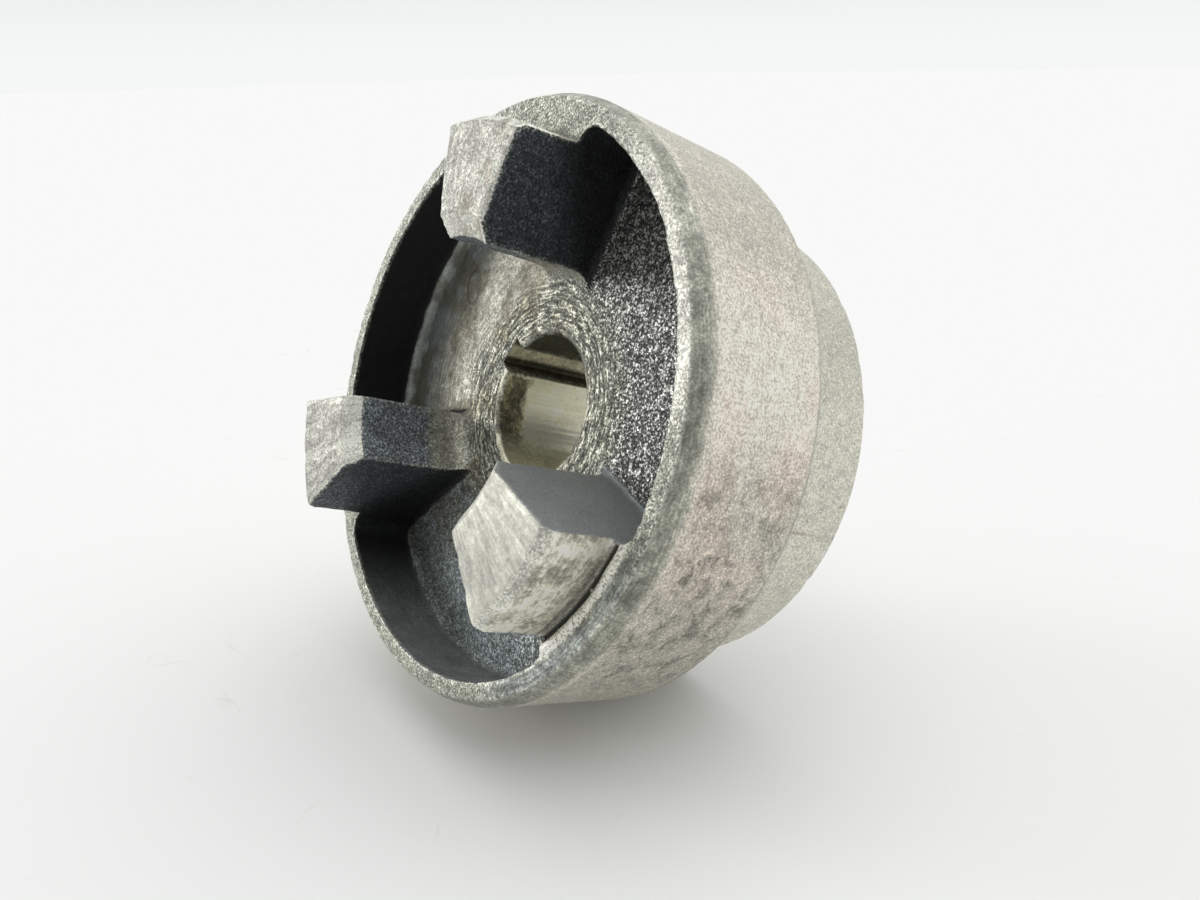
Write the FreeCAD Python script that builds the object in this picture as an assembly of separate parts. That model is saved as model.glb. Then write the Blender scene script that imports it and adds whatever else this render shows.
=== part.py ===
import FreeCAD, Part
import math
import os

# Half of a three-jaw shaft coupling: a cast aluminium hub and the two set screws that hold it on its shaft.
# The bore runs along Y. The cup and its jaws face -Y, the plain barrel faces +Y, and +Z is up.
# The origin is on the bore axis, in the plane of the barrel's back face. Angles turn about the bore axis,
# from +X towards +Z, as somebody sees them who looks into the cup. All sizes are in millimetres.

# The cup: a shallow dish whose thin rim shrouds the feet of the jaws
cup_diameter = 90.0
cup_length = 23.9
cup_depth = 11.0
cup_draft = 0.6
rim_wall = 3.5
rim_bevel_radial = 1.0
rim_bevel_axial = 2.0
cup_back_round = 0.9
floor_fillet = 1.6

# The barrel: the stepped-down solid behind the cup
shoulder_step = 7.5
barrel_length = 19.6
barrel_edge_chamfer = 0.8
shoulder_fillet = 1.2

# The bore and its keyway
bore_diameter = 22.225
bore_back_chamfer = 0.5
bore_front_chamfer = 0.4
keyway_width = 4.76
keyway_depth = 2.4
keyway_angle = 150.0

# The jaws: wedges that rise from the cup's floor, join its wall and stand proud of its rim
jaw_count = 3
first_jaw_angle = 90.0
jaw_half_angle = 14.0
jaw_protrusion = 10.1
jaw_inner_radius = 21.4
jaw_inner_foot_fillet = 3.5
jaw_ledge_width = 3.1
jaw_outer_draft = 0.2
jaw_tip_chamfer_radial = 0.9
jaw_tip_chamfer_axial = 1.6
jaw_nose_chamfer_radial = 2.9
jaw_nose_chamfer_axial = 2.2
jaw_corner_fillet = 2.6
jaw_foot_fillet = 1.5
jaw_edge_round = 0.4

# The set screws: one bears on the key, the other on the shaft a quarter turn away
screw_diameter = 7.94
screw_length = 12.7
screw_chamfer = 0.8
screw_setback = 9.8
screw_side_turn = 90.0
screw_tip_gap = 1.0
screw_fit_clearance = 0.05
screw_mouth_chamfer = 0.7
screw_point_diameter = 4.4
screw_point_taper = 1.6
screw_point_hollow = 0.8
socket_across_flats = 3.97
socket_sides = 6
socket_depth = 4.2
socket_drill_point = 0.9

# How far a cutting or joining solid runs past the face that it meets
overlap = 1.0

# Closer than this is the same place
tiny = 0.001

cup_radius = cup_diameter / 2
cup_back_radius = cup_radius - cup_draft
cup_inner_radius = cup_radius - rim_wall
barrel_radius = cup_back_radius - shoulder_step
bore_radius = bore_diameter / 2
rim_y = -(cup_length + barrel_length)
floor_y = rim_y + cup_depth
shoulder_y = rim_y + cup_length
tip_y = rim_y - jaw_protrusion
jaw_foot_radius = cup_inner_radius - jaw_ledge_width
jaw_root_radius = cup_inner_radius + rim_wall / 2
keyway_roof = bore_radius + keyway_depth
screw_radius = screw_diameter / 2
side_screw_angle = keyway_angle + screw_side_turn

AXIS = FreeCAD.Vector(0, 1, 0)
ORIGIN = FreeCAD.Vector(0, 0, 0)


def profile_point(radius, y):
    """A point of a turned profile, drawn in the XY plane with X as the radius."""
    return FreeCAD.Vector(radius, y, 0)


def turned(corners):
    """A full turn about the bore axis of a closed profile with straight sides."""
    points = [profile_point(radius, y) for radius, y in corners]
    outline = Part.makePolygon(points + points[:1])
    return Part.Face(outline).revolve(ORIGIN, AXIS, 360)


def around(angle, radius, y):
    """The point at an angle about the bore axis, a distance from it, at a height along it."""
    turn = math.radians(angle)
    return FreeCAD.Vector(radius * math.cos(turn), y, radius * math.sin(turn))


def turn_about_bore(shape, angle):
    """Turns a shape drawn along +X to an angle about the bore axis."""
    copy = shape.copy()
    copy.rotate(ORIGIN, AXIS, -angle)
    return copy


def jaw_angles():
    """The middle of each jaw."""
    return [first_jaw_angle + index * 360 / jaw_count for index in range(jaw_count)]


def quarter_round(start, centre, end):
    """The shorter arc from one point to another about a centre, for a profile."""
    middle = (start + end) * 0.5 - centre
    middle.normalize()
    return Part.Arc(start, centre + middle * (start - centre).Length, end).toShape()


def turned_body():
    """The cup, its solid floor and the barrel, as one turned shape with no bore."""
    corners = [
        (cup_inner_radius, rim_y),
        (cup_radius - rim_bevel_radial, rim_y),
        (cup_radius, rim_y + rim_bevel_axial),
        (cup_back_radius, shoulder_y - cup_back_round),
        (cup_back_radius - cup_back_round, shoulder_y),
        (barrel_radius + shoulder_fillet, shoulder_y),
        (barrel_radius, shoulder_y + shoulder_fillet),
        (barrel_radius, -barrel_edge_chamfer),
        (barrel_radius - barrel_edge_chamfer, 0),
        (0, 0),
        (0, floor_y),
        (cup_inner_radius - floor_fillet, floor_y),
        (cup_inner_radius, floor_y - floor_fillet),
    ]
    points = [profile_point(radius, y) for radius, y in corners]
    round_centres = {
        3: profile_point(cup_back_radius - cup_back_round, shoulder_y - cup_back_round),
        5: profile_point(barrel_radius + shoulder_fillet, shoulder_y + shoulder_fillet),
        11: profile_point(cup_inner_radius - floor_fillet, floor_y - floor_fillet),
    }
    edges = []
    for index, start in enumerate(points):
        end = points[(index + 1) % len(points)]
        if index in round_centres:
            edges.append(quarter_round(start, round_centres[index], end))
        else:
            edges.append(Part.makeLine(start, end))
    return Part.Face(Part.Wire(edges)).revolve(ORIGIN, AXIS, 360)


def jaw_plan():
    """The jaw seen along the bore, drawn about +X: radial flanks that curve outwards into the cup's wall."""
    centre_radius = cup_inner_radius - jaw_corner_fillet
    spread = math.degrees(math.asin(jaw_corner_fillet / centre_radius))
    flank_radius = centre_radius * math.cos(math.radians(spread))
    wall_angle = jaw_half_angle + spread
    start_radius = jaw_inner_radius - jaw_inner_foot_fillet - overlap

    def straight(angle, first_radius, last_radius):
        return Part.makeLine(around(angle, first_radius, 0), around(angle, last_radius, 0))

    def across(radius):
        return Part.Arc(around(-wall_angle, radius, 0), around(0, radius, 0), around(wall_angle, radius, 0))

    edges = [
        across(jaw_root_radius).toShape(),
        Part.makeLine(around(-jaw_half_angle, start_radius, 0), around(jaw_half_angle, start_radius, 0)),
    ]
    for side in (-1, 1):
        flank_end = around(side * jaw_half_angle, flank_radius, 0)
        wall_point = around(side * wall_angle, cup_inner_radius, 0)
        edges.append(straight(side * jaw_half_angle, start_radius, flank_radius))
        edges.append(quarter_round(flank_end, around(side * wall_angle, centre_radius, 0), wall_point))
        edges.append(straight(side * wall_angle, cup_inner_radius, jaw_root_radius))
    return Part.Face(Part.Wire(Part.__sortEdges__(edges)))


def jaw_envelope():
    """The turned shape that gives the jaw its inner, end and outer faces."""
    tip_outer_radius = jaw_foot_radius - jaw_outer_draft
    foot_centre = profile_point(jaw_inner_radius - jaw_inner_foot_fillet, floor_y - jaw_inner_foot_fillet)
    corners = [
        (jaw_inner_radius - jaw_inner_foot_fillet, floor_y),
        (jaw_inner_radius, floor_y - jaw_inner_foot_fillet),
        (jaw_inner_radius, tip_y + jaw_nose_chamfer_axial),
        (jaw_inner_radius + jaw_nose_chamfer_radial, tip_y),
        (tip_outer_radius - jaw_tip_chamfer_radial, tip_y),
        (tip_outer_radius, tip_y + jaw_tip_chamfer_axial),
        (jaw_foot_radius, rim_y),
        (jaw_root_radius, rim_y),
        (jaw_root_radius, floor_y + overlap),
        (jaw_inner_radius - jaw_inner_foot_fillet, floor_y + overlap),
    ]
    points = [profile_point(radius, y) for radius, y in corners]
    edges = [quarter_round(points[0], foot_centre, points[1])]
    for index in range(1, len(points)):
        edges.append(Part.makeLine(points[index], points[(index + 1) % len(points)]))
    return Part.Face(Part.Wire(edges)).revolve(ORIGIN, AXIS, 360)


def flank_foot(side):
    """The concave fillet along the foot of one flank, drawn about +X and longer than the jaw at both ends."""
    turn = math.radians(side * jaw_half_angle)
    outwards = FreeCAD.Vector(-math.sin(turn), 0, math.cos(turn)) * side
    inner_radius = jaw_inner_radius - jaw_inner_foot_fillet - overlap
    inner_end = around(side * jaw_half_angle, inner_radius, floor_y)
    rise = FreeCAD.Vector(0, -1, 0)

    def corner(away, height):
        return inner_end + outwards * away + rise * height

    points = [
        corner(0, jaw_foot_fillet),
        corner(jaw_foot_fillet, 0),
        corner(jaw_foot_fillet, -overlap),
        corner(-overlap, -overlap),
        corner(-overlap, jaw_foot_fillet),
    ]
    edges = [quarter_round(points[0], corner(jaw_foot_fillet, jaw_foot_fillet), points[1])]
    for index in range(1, len(points)):
        edges.append(Part.makeLine(points[index], points[(index + 1) % len(points)]))
    along = around(side * jaw_half_angle, jaw_root_radius, floor_y) - inner_end
    return Part.Face(Part.Wire(edges)).extrude(along)


def one_jaw():
    """A jaw about +X, with its flanks' feet."""
    plan = jaw_plan()
    plan.translate(FreeCAD.Vector(0, tip_y - overlap, 0))
    height = floor_y - tip_y + 2 * overlap
    wedge = plan.extrude(FreeCAD.Vector(0, height, 0))
    return wedge.multiFuse([flank_foot(-1), flank_foot(1)]).common(jaw_envelope())


def casting_blank():
    """The body with its jaws, before anything is drilled. The edges of the jaws' end faces are rounded."""
    jaw = one_jaw()
    jaws = [turn_about_bore(jaw, angle) for angle in jaw_angles()]
    blank = turned_body().multiFuse(jaws).removeSplitter()
    end_edges = [edge for edge in blank.Edges if abs(edge.BoundBox.YMax - tip_y) < tiny]
    return blank.makeFillet(jaw_edge_round, end_edges)


def cone(radius_1, radius_2, y_1, y_2):
    """A solid cone frustum on the bore axis."""
    return turned([(0, y_1), (radius_1, y_1), (radius_2, y_2), (0, y_2)])


def bore_and_keyway():
    """What the boring bar and the broach take out, with the chamfers at both mouths."""
    front_radius = bore_radius + bore_front_chamfer
    back_radius = bore_radius + bore_back_chamfer
    bore = cone(bore_radius, bore_radius, floor_y - overlap, overlap)
    front = cone(front_radius + overlap, bore_radius, floor_y - overlap, floor_y + bore_front_chamfer)
    back = cone(bore_radius, back_radius + overlap, -bore_back_chamfer, overlap)
    corner = FreeCAD.Vector(0, floor_y - overlap, -keyway_width / 2)
    length = -floor_y + 2 * overlap
    keyway = turn_about_bore(Part.makeBox(keyway_roof, length, keyway_width, corner), keyway_angle)
    return bore.multiFuse([front, back, keyway])


def turned_screw(corners):
    """A full turn about the set screw's own axis of a profile given as (distance along it, radius)."""
    points = [FreeCAD.Vector(along, -screw_setback + radius, 0) for along, radius in corners]
    outline = Part.makePolygon(points + points[:1])
    return Part.Face(outline).revolve(FreeCAD.Vector(0, -screw_setback, 0), FreeCAD.Vector(1, 0, 0), 360)


def screw_hole(angle):
    """A tapped hole from the barrel's outside into the bore, drawn plain at the thread's outer diameter."""
    radius = screw_radius + screw_fit_clearance
    mouth_floor = barrel_radius - screw_mouth_chamfer
    mouth_top = barrel_radius + overlap
    hole = turned_screw([(0, 0), (0, radius), (mouth_floor, radius),
                         (mouth_top, radius + mouth_top - mouth_floor), (mouth_top, 0)])
    return turn_about_bore(hole, angle)


def hub_casting():
    """The cast and machined hub."""
    cuts = [bore_and_keyway()] + [screw_hole(angle) for angle in (keyway_angle, side_screw_angle)]
    return casting_blank().cut(cuts).removeSplitter()


def set_screw(angle, point_radius):
    """A cup-point set screw at an angle about the bore, its point at a distance from the bore axis."""
    end = point_radius + screw_length
    ring_radius = screw_point_diameter / 2
    body = turned_screw([
        (point_radius + screw_point_hollow, 0),
        (point_radius, ring_radius),
        (point_radius + screw_point_taper, screw_radius),
        (end - screw_chamfer, screw_radius),
        (end, screw_radius - screw_chamfer),
        (end, 0),
    ])
    flat_turn = math.radians(360 / socket_sides)
    corner_radius = socket_across_flats / 2 / math.cos(flat_turn / 2)
    floor = end - socket_depth
    flats = []
    for index in range(socket_sides + 1):
        turn = flat_turn * index
        flats.append(FreeCAD.Vector(floor, -screw_setback + corner_radius * math.cos(turn),
                                    corner_radius * math.sin(turn)))
    socket = Part.Face(Part.makePolygon(flats)).extrude(FreeCAD.Vector(socket_depth + overlap, 0, 0))
    drill_point = turned_screw([(floor - socket_drill_point, 0), (floor, socket_across_flats / 2),
                                (floor + overlap, socket_across_flats / 2), (floor + overlap, 0)])
    return turn_about_bore(body.cut([socket, drill_point]), angle)


def save(node, shape):
    """Writes one piece."""
    state = "closed" if shape.isValid() else "NOT VALID"
    print(node, state, len(shape.Solids), "solid, mm3:", round(shape.Volume, 1))
    shape.exportStep("parts/" + node + ".step")


os.makedirs("parts", exist_ok=True)
save("hub_casting", hub_casting())
save("key_set_screw", set_screw(keyway_angle, keyway_roof + screw_tip_gap))
save("shaft_set_screw", set_screw(side_screw_angle, bore_radius + screw_tip_gap))
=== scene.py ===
import itertools
import math

import bpy
import numpy as np
from mathutils import Matrix, Vector


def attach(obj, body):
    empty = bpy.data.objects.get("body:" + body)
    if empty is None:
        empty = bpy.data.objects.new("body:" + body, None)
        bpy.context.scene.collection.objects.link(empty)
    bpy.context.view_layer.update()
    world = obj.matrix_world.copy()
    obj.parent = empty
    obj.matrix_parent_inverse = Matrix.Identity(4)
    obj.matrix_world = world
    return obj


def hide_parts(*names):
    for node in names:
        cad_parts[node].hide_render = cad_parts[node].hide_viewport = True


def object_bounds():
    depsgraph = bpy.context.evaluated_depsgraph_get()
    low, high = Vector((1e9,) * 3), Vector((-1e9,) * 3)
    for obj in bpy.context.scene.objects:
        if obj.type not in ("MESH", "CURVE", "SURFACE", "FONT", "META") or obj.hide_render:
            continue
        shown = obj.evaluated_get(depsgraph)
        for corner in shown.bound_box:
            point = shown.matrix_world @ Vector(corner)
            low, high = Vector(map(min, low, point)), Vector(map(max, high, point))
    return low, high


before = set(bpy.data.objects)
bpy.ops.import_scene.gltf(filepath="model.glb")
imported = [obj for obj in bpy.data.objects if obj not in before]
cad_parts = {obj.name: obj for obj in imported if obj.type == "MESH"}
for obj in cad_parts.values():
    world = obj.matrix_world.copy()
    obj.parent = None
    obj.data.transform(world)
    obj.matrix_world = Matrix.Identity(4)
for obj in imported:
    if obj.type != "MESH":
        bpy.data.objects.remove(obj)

cad_low, cad_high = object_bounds()

MM = 0.001

# The hub's own places, in millimetres: radii from the bore axis, and distances behind the plane of the rim
RIM_PLANE_Y = -43.5
FLOOR_BACK = 11.0
SHOULDER_BACK = 23.9
BARREL_BACK = 43.5
CUP_RADIUS = 45.0
CUP_INNER_RADIUS = 41.5
BARREL_RADIUS = 36.9
BORE_RADIUS = 11.1125
SMOOTH_FLOOR_RADIUS = 14.5
JAW_OUTER_RADIUS = 38.4
JAW_COUNT = 3
JAW_HALF_ANGLE = 14.0

# Angles are in degrees about the bore axis, from the right of the open side towards the top
KEYWAY_ANGLE = 150.0
SHAFT_SCREW_ANGLE = 240.0
TOP_JAW_ANGLE = 90.0
JAW_FOOT_ANGLE = -34.0

# The two set screws and their threaded holes, in millimetres
SCREW_RADIUS = 3.97
SCREW_HOLE_RADIUS = 4.02
SCREW_SETBACK = 9.8
THREAD_PITCH = 1.411
THREAD_DEPTH = 0.8
SOCKET_WIDTH = 3.97
SOCKET_DEPTH = 4.2

# Where the halves of the sand mould met on the barrel, and the shallow oval that a core pin left in the floor
PARTING_ANGLE = -11.4
OVAL_RADIUS = 31.0
OVAL_ANGLE = 150.4
OVAL_TILT = 104.0
OVAL_LENGTH = 2.6
OVAL_WIDTH = 1.8

# It rests on the back edge of the cup and the back edge of the barrel, so its open side is tipped up
REST_ROLL_DEG = 2.0
CUP_BACK_RADIUS = 44.4

# The skin of small faces that stands for the casting, in millimetres
SKIN_STEP = 0.24
EASE_ROUNDS = 3
MOST_FACES = 190000


# ---------------------------------------------------------------------- camera, floor and light

CAMERA_PLACE = Vector((0.13021, -0.12548, 0.01279))
CAMERA_FORWARD = Vector((-0.76826, 0.63120, -0.10657))
CAMERA_UP = Vector((-0.23988, -0.12953, 0.96212))
CAMERA_LENS = 31.22


def look_along(forward, up):
    """The turn of a camera or lamp that looks along forward."""
    side = forward.cross(up).normalized()
    above = side.cross(forward).normalized()
    return Matrix((side, above, -forward.normalized())).transposed().to_4x4()


def make_camera():
    """A wide lens held close to the hub, a little above it and to the right of its open side."""
    data = bpy.data.cameras.new("camera")
    data.lens = CAMERA_LENS
    data.sensor_width = 36
    data.clip_start = 0.01
    data.clip_end = 20
    camera = bpy.data.objects.new("camera", data)
    camera.matrix_world = Matrix.Translation(CAMERA_PLACE) @ look_along(CAMERA_FORWARD, CAMERA_UP)
    bpy.context.scene.collection.objects.link(camera)
    bpy.context.scene.camera = camera


def resting_plane():
    """The upward normal of the surface that the hub rests on, and a point of it."""
    lean = math.atan2(CUP_BACK_RADIUS - BARREL_RADIUS, BARREL_BACK - SHOULDER_BACK)
    roll = math.radians(REST_ROLL_DEG)
    normal = Vector((math.sin(roll) * math.cos(lean), -math.sin(lean), math.cos(roll) * math.cos(lean)))
    across = Vector((-math.sin(roll), 0, -math.cos(roll)))
    contact = (across * CUP_BACK_RADIUS + Vector((0, RIM_PLANE_Y + SHOULDER_BACK, 0))) * MM
    return normal, contact


def make_sun(name, travel, strength, spread_deg, colour):
    """A very soft, far light whose rays travel along the direction given."""
    data = bpy.data.lights.new(name, "SUN")
    data.energy = strength
    data.angle = math.radians(spread_deg)
    data.color = colour
    lamp = bpy.data.objects.new(name, data)
    lamp.matrix_world = look_along(travel, Vector((0, 1, 0)))
    bpy.context.scene.collection.objects.link(lamp)


# ---------------------------------------------------------------------- shader building

def screen_colour(red, green, blue):
    """A colour given as a screen's 0 to 255 values, as the linear values that Blender mixes."""
    parts = [channel / 255 for channel in (red, green, blue)]
    linear = [part / 12.92 if part <= 0.04045 else ((part + 0.055) / 1.055) ** 2.4 for part in parts]
    return (*linear, 1.0)


class Board:
    """A node tree that is being wired."""

    def __init__(self, tree):
        self.tree = tree

    def add(self, kind, **settings):
        node = self.tree.nodes.new(kind)
        for name, value in settings.items():
            setattr(node, name, value)
        return node

    def feed(self, socket, value):
        """Links an output to an input, or sets the input to a plain value."""
        if isinstance(value, bpy.types.NodeSocket):
            self.tree.links.new(value, socket)
        else:
            socket.default_value = value

    def math(self, operation, *values):
        node = self.add("ShaderNodeMath", operation=operation)
        for socket, value in zip(node.inputs, values):
            self.feed(socket, value)
        return node.outputs[0]

    def vector(self, operation, *values):
        node = self.add("ShaderNodeVectorMath", operation=operation)
        for socket, value in zip(node.inputs, values):
            self.feed(socket, value)
        return node.outputs["Value" if operation == "DOT_PRODUCT" else "Vector"]

    def scaled(self, vector, factor):
        node = self.add("ShaderNodeVectorMath", operation="SCALE")
        self.feed(node.inputs[0], vector)
        self.feed(node.inputs["Scale"], factor)
        return node.outputs["Vector"]

    def step(self, value, start, end, low=0.0, high=1.0):
        """Goes softly from low to high while value goes from start to end."""
        node = self.add("ShaderNodeMapRange", interpolation_type="SMOOTHSTEP")
        for socket, given in zip(node.inputs, (value, start, end, low, high)):
            self.feed(socket, given)
        return node.outputs[0]

    def over(self, value, limit, soft):
        """1 where value is over limit, 0 where it is under it."""
        return self.step(value, limit - soft, limit + soft)

    def under(self, value, limit, soft):
        """1 where value is under limit, 0 where it is over it."""
        return self.step(value, limit - soft, limit + soft, 1.0, 0.0)

    def both(self, *masks):
        """Where all of the masks are, as their product."""
        result = masks[0]
        for mask in masks[1:]:
            result = self.math("MULTIPLY", result, mask)
        return result

    def about_zero(self, noise, gain):
        """A noise moved so that its middle is 0, then multiplied."""
        return self.math("MULTIPLY", self.math("SUBTRACT", noise, 0.5), gain)

    def held(self, value, least, most):
        return self.math("MAXIMUM", self.math("MINIMUM", value, most), least)

    def blend(self, share, first, second):
        """Colours mixed: share of the second over the first."""
        node = self.add("ShaderNodeMix", data_type="RGBA")
        self.feed(node.inputs[0], share)
        self.feed(node.inputs[6], first)
        self.feed(node.inputs[7], second)
        return node.outputs[2]

    def fade(self, share, first, second):
        """Numbers mixed: share of the second over the first."""
        node = self.add("ShaderNodeMix", data_type="FLOAT")
        self.feed(node.inputs[0], share)
        self.feed(node.inputs[2], first)
        self.feed(node.inputs[3], second)
        return node.outputs[0]

    def object_place(self):
        return self.add("ShaderNodeTexCoord").outputs["Object"]

    def edge(self):
        """The mesh's own note of its shape: above 0 on edges and below 0 in hollows."""
        return self.add("ShaderNodeAttribute", attribute_name="edge").outputs["Fac"]

    def noise(self, place, size_mm, detail=2.0, roughness=0.5, distortion=0.0):
        """A noise whose lumps are about size_mm across, mostly from 0.3 to 0.7."""
        node = self.add("ShaderNodeTexNoise")
        self.feed(node.inputs["Vector"], place)
        node.inputs["Scale"].default_value = 1 / (size_mm * MM)
        node.inputs["Detail"].default_value = detail
        node.inputs["Roughness"].default_value = roughness
        node.inputs["Distortion"].default_value = distortion
        return node.outputs["Fac"]

    def group(self, tree, **values):
        node = self.add("ShaderNodeGroup", node_tree=tree)
        for name, value in values.items():
            self.feed(node.inputs[name.replace("_", " ")], value)
        return node.outputs


def new_group(name, numbers, outputs):
    """A shader group with named number inputs, given with their defaults, and named number outputs."""
    tree = bpy.data.node_groups.new(name, "ShaderNodeTree")
    for label, default in numbers.items():
        socket = tree.interface.new_socket(name=label, in_out="INPUT", socket_type="NodeSocketFloat")
        socket.default_value = default
    for label in outputs:
        tree.interface.new_socket(name=label, in_out="OUTPUT", socket_type="NodeSocketFloat")
    board = Board(tree)
    given = board.add("NodeGroupInput")
    result = board.add("NodeGroupOutput")
    return board, given.outputs, result.inputs


def hub_places_group():
    """Where a point of the hub is, in millimetres, and which way its surface faces."""
    board, _, out = new_group("hub_places", {}, (
        "Across", "Up", "Radius", "Back", "Beside", "Angle", "Facing Front", "Facing Out", "Facing Round"))
    place = board.add("ShaderNodeTexCoord")
    split = board.add("ShaderNodeSeparateXYZ")
    board.feed(split.inputs[0], place.outputs["Object"])
    facing = board.add("ShaderNodeSeparateXYZ")
    board.feed(facing.inputs[0], place.outputs["Normal"])
    x, y, z = (board.math("MULTIPLY", part, 1 / MM) for part in split.outputs)
    radius = board.math("SQRT", board.math("ADD", board.math("MULTIPLY", x, x), board.math("MULTIPLY", z, z)))
    least_radius = 0.001
    safe = board.math("MAXIMUM", radius, least_radius)
    out_x = board.math("DIVIDE", x, safe)
    out_z = board.math("DIVIDE", z, safe)
    angle = board.math("ARCTAN2", z, x)
    share = 2 * math.pi / JAW_COUNT
    from_top_jaw = board.math("SUBTRACT", angle, math.radians(TOP_JAW_ANGLE))
    from_jaw = board.math("ABSOLUTE", board.math("WRAP", from_top_jaw, share / 2, -share / 2))
    past_flank = board.math("SUBTRACT", from_jaw, math.radians(JAW_HALF_ANGLE))
    facing_x, facing_y, facing_z = facing.outputs
    board.feed(out["Across"], x)
    board.feed(out["Up"], z)
    board.feed(out["Radius"], radius)
    board.feed(out["Back"], board.math("SUBTRACT", y, RIM_PLANE_Y))
    board.feed(out["Beside"], board.math("MULTIPLY", board.math("SINE", past_flank), radius))
    board.feed(out["Angle"], angle)
    board.feed(out["Facing Front"], board.math("MULTIPLY", facing_y, -1.0))
    board.feed(out["Facing Out"], board.math("ADD", board.math("MULTIPLY", facing_x, out_x),
                                             board.math("MULTIPLY", facing_z, out_z)))
    board.feed(out["Facing Round"], board.math("SUBTRACT", board.math("MULTIPLY", facing_z, out_x),
                                               board.math("MULTIPLY", facing_x, out_z)))
    return board.tree


def metal_speckle_group():
    """The salt and pepper of a sand-cast skin, from about -2 in its pits to 2 at its points."""
    board, given, out = new_group("metal_speckle", {"Grain Size": 1.0}, ("Speckle", "Height"))
    place = board.scaled(board.object_place(), board.math("DIVIDE", 1.0, given["Grain Size"]))
    fine = board.noise(place, 0.33, detail=2.0, roughness=0.6)
    coarse = board.noise(place, 1.2, detail=3.0, roughness=0.6, distortion=0.3)
    fine_share = 0.75
    mixed = board.fade(fine_share, coarse, fine)
    board.feed(out["Speckle"], board.held(board.about_zero(mixed, 15.0), -2.4, 2.2))
    board.feed(out["Height"], mixed)
    return board.tree


def grime_patches_group():
    """Old dirt and oxide in uneven patches, broken up finely, from about -2 where dark to 2 where clean."""
    board, given, out = new_group("grime_patches", {"Patch Size": 1.0, "Break Up": 0.5}, ("Patches",))
    place = board.object_place()
    patch_place = board.scaled(place, board.math("DIVIDE", 1.0, given["Patch Size"]))
    large = board.noise(patch_place, 5.0, detail=4.0, roughness=0.62, distortion=0.5)
    fine = board.noise(place, 0.8, detail=2.0, roughness=0.6)
    broken = board.math("ADD", large, board.about_zero(fine, given["Break Up"]))
    board.feed(out["Patches"], board.held(board.about_zero(broken, 10.0), -2.0, 2.0))
    return board.tree


def turned_lines_group(places):
    """Fine strokes that run round the bore, from about -2 to 2, as turning, brushing and wear leave them."""
    board, given, out = new_group("turned_lines", {"Length": 3.0}, ("Lines",))
    hub = board.group(places)
    across_bore = board.vector("MULTIPLY", board.object_place(), (1.0, 0.0, 1.0))
    ring = board.scaled(board.vector("NORMALIZE", across_bore), board.math("MULTIPLY", given["Length"], MM))
    line_off = board.add("ShaderNodeCombineXYZ")
    board.feed(line_off.inputs[1], board.math("MULTIPLY", board.math("ADD", hub["Radius"], hub["Back"]), MM))
    strokes = board.noise(board.vector("ADD", ring, line_off.outputs[0]), 0.45, detail=3.0, roughness=0.65)
    board.feed(out["Lines"], board.held(board.about_zero(strokes, 12.0), -2.0, 2.0))
    return board.tree


def radial_smears_group(places):
    """Soft smears that run out from the bore, from about -2 to 2, as the insert leaves them on the jaws."""
    board, given, out = new_group("radial_smears", {"Width": 1.0}, ("Smears",))
    hub = board.group(places)
    jaw_radius, squeeze = 30.0, 0.16
    joined = board.add("ShaderNodeCombineXYZ")
    board.feed(joined.inputs[0], board.math("MULTIPLY", hub["Angle"], jaw_radius * MM))
    board.feed(joined.inputs[1], board.math("MULTIPLY", hub["Radius"], squeeze * MM))
    board.feed(joined.inputs[2], board.math("MULTIPLY", hub["Back"], squeeze * MM))
    place = board.scaled(joined.outputs[0], board.math("DIVIDE", 1.0, given["Width"]))
    smears = board.noise(place, 1.1, detail=4.0, roughness=0.6, distortion=0.4)
    board.feed(out["Smears"], board.held(board.about_zero(smears, 10.0), -2.0, 2.0))
    return board.tree


def new_material(name):
    material = bpy.data.materials.new(name)
    material.use_nodes = True
    return material, material.node_tree.nodes["Principled BSDF"]


def add_bump(board, shader, height, distance_mm, strength):
    node = board.add("ShaderNodeBump")
    node.inputs["Strength"].default_value = strength
    node.inputs["Distance"].default_value = distance_mm * MM
    board.feed(node.inputs["Height"], height)
    board.feed(shader.inputs["Normal"], node.outputs[0])


# ---------------------------------------------------------------------- finishes

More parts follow.
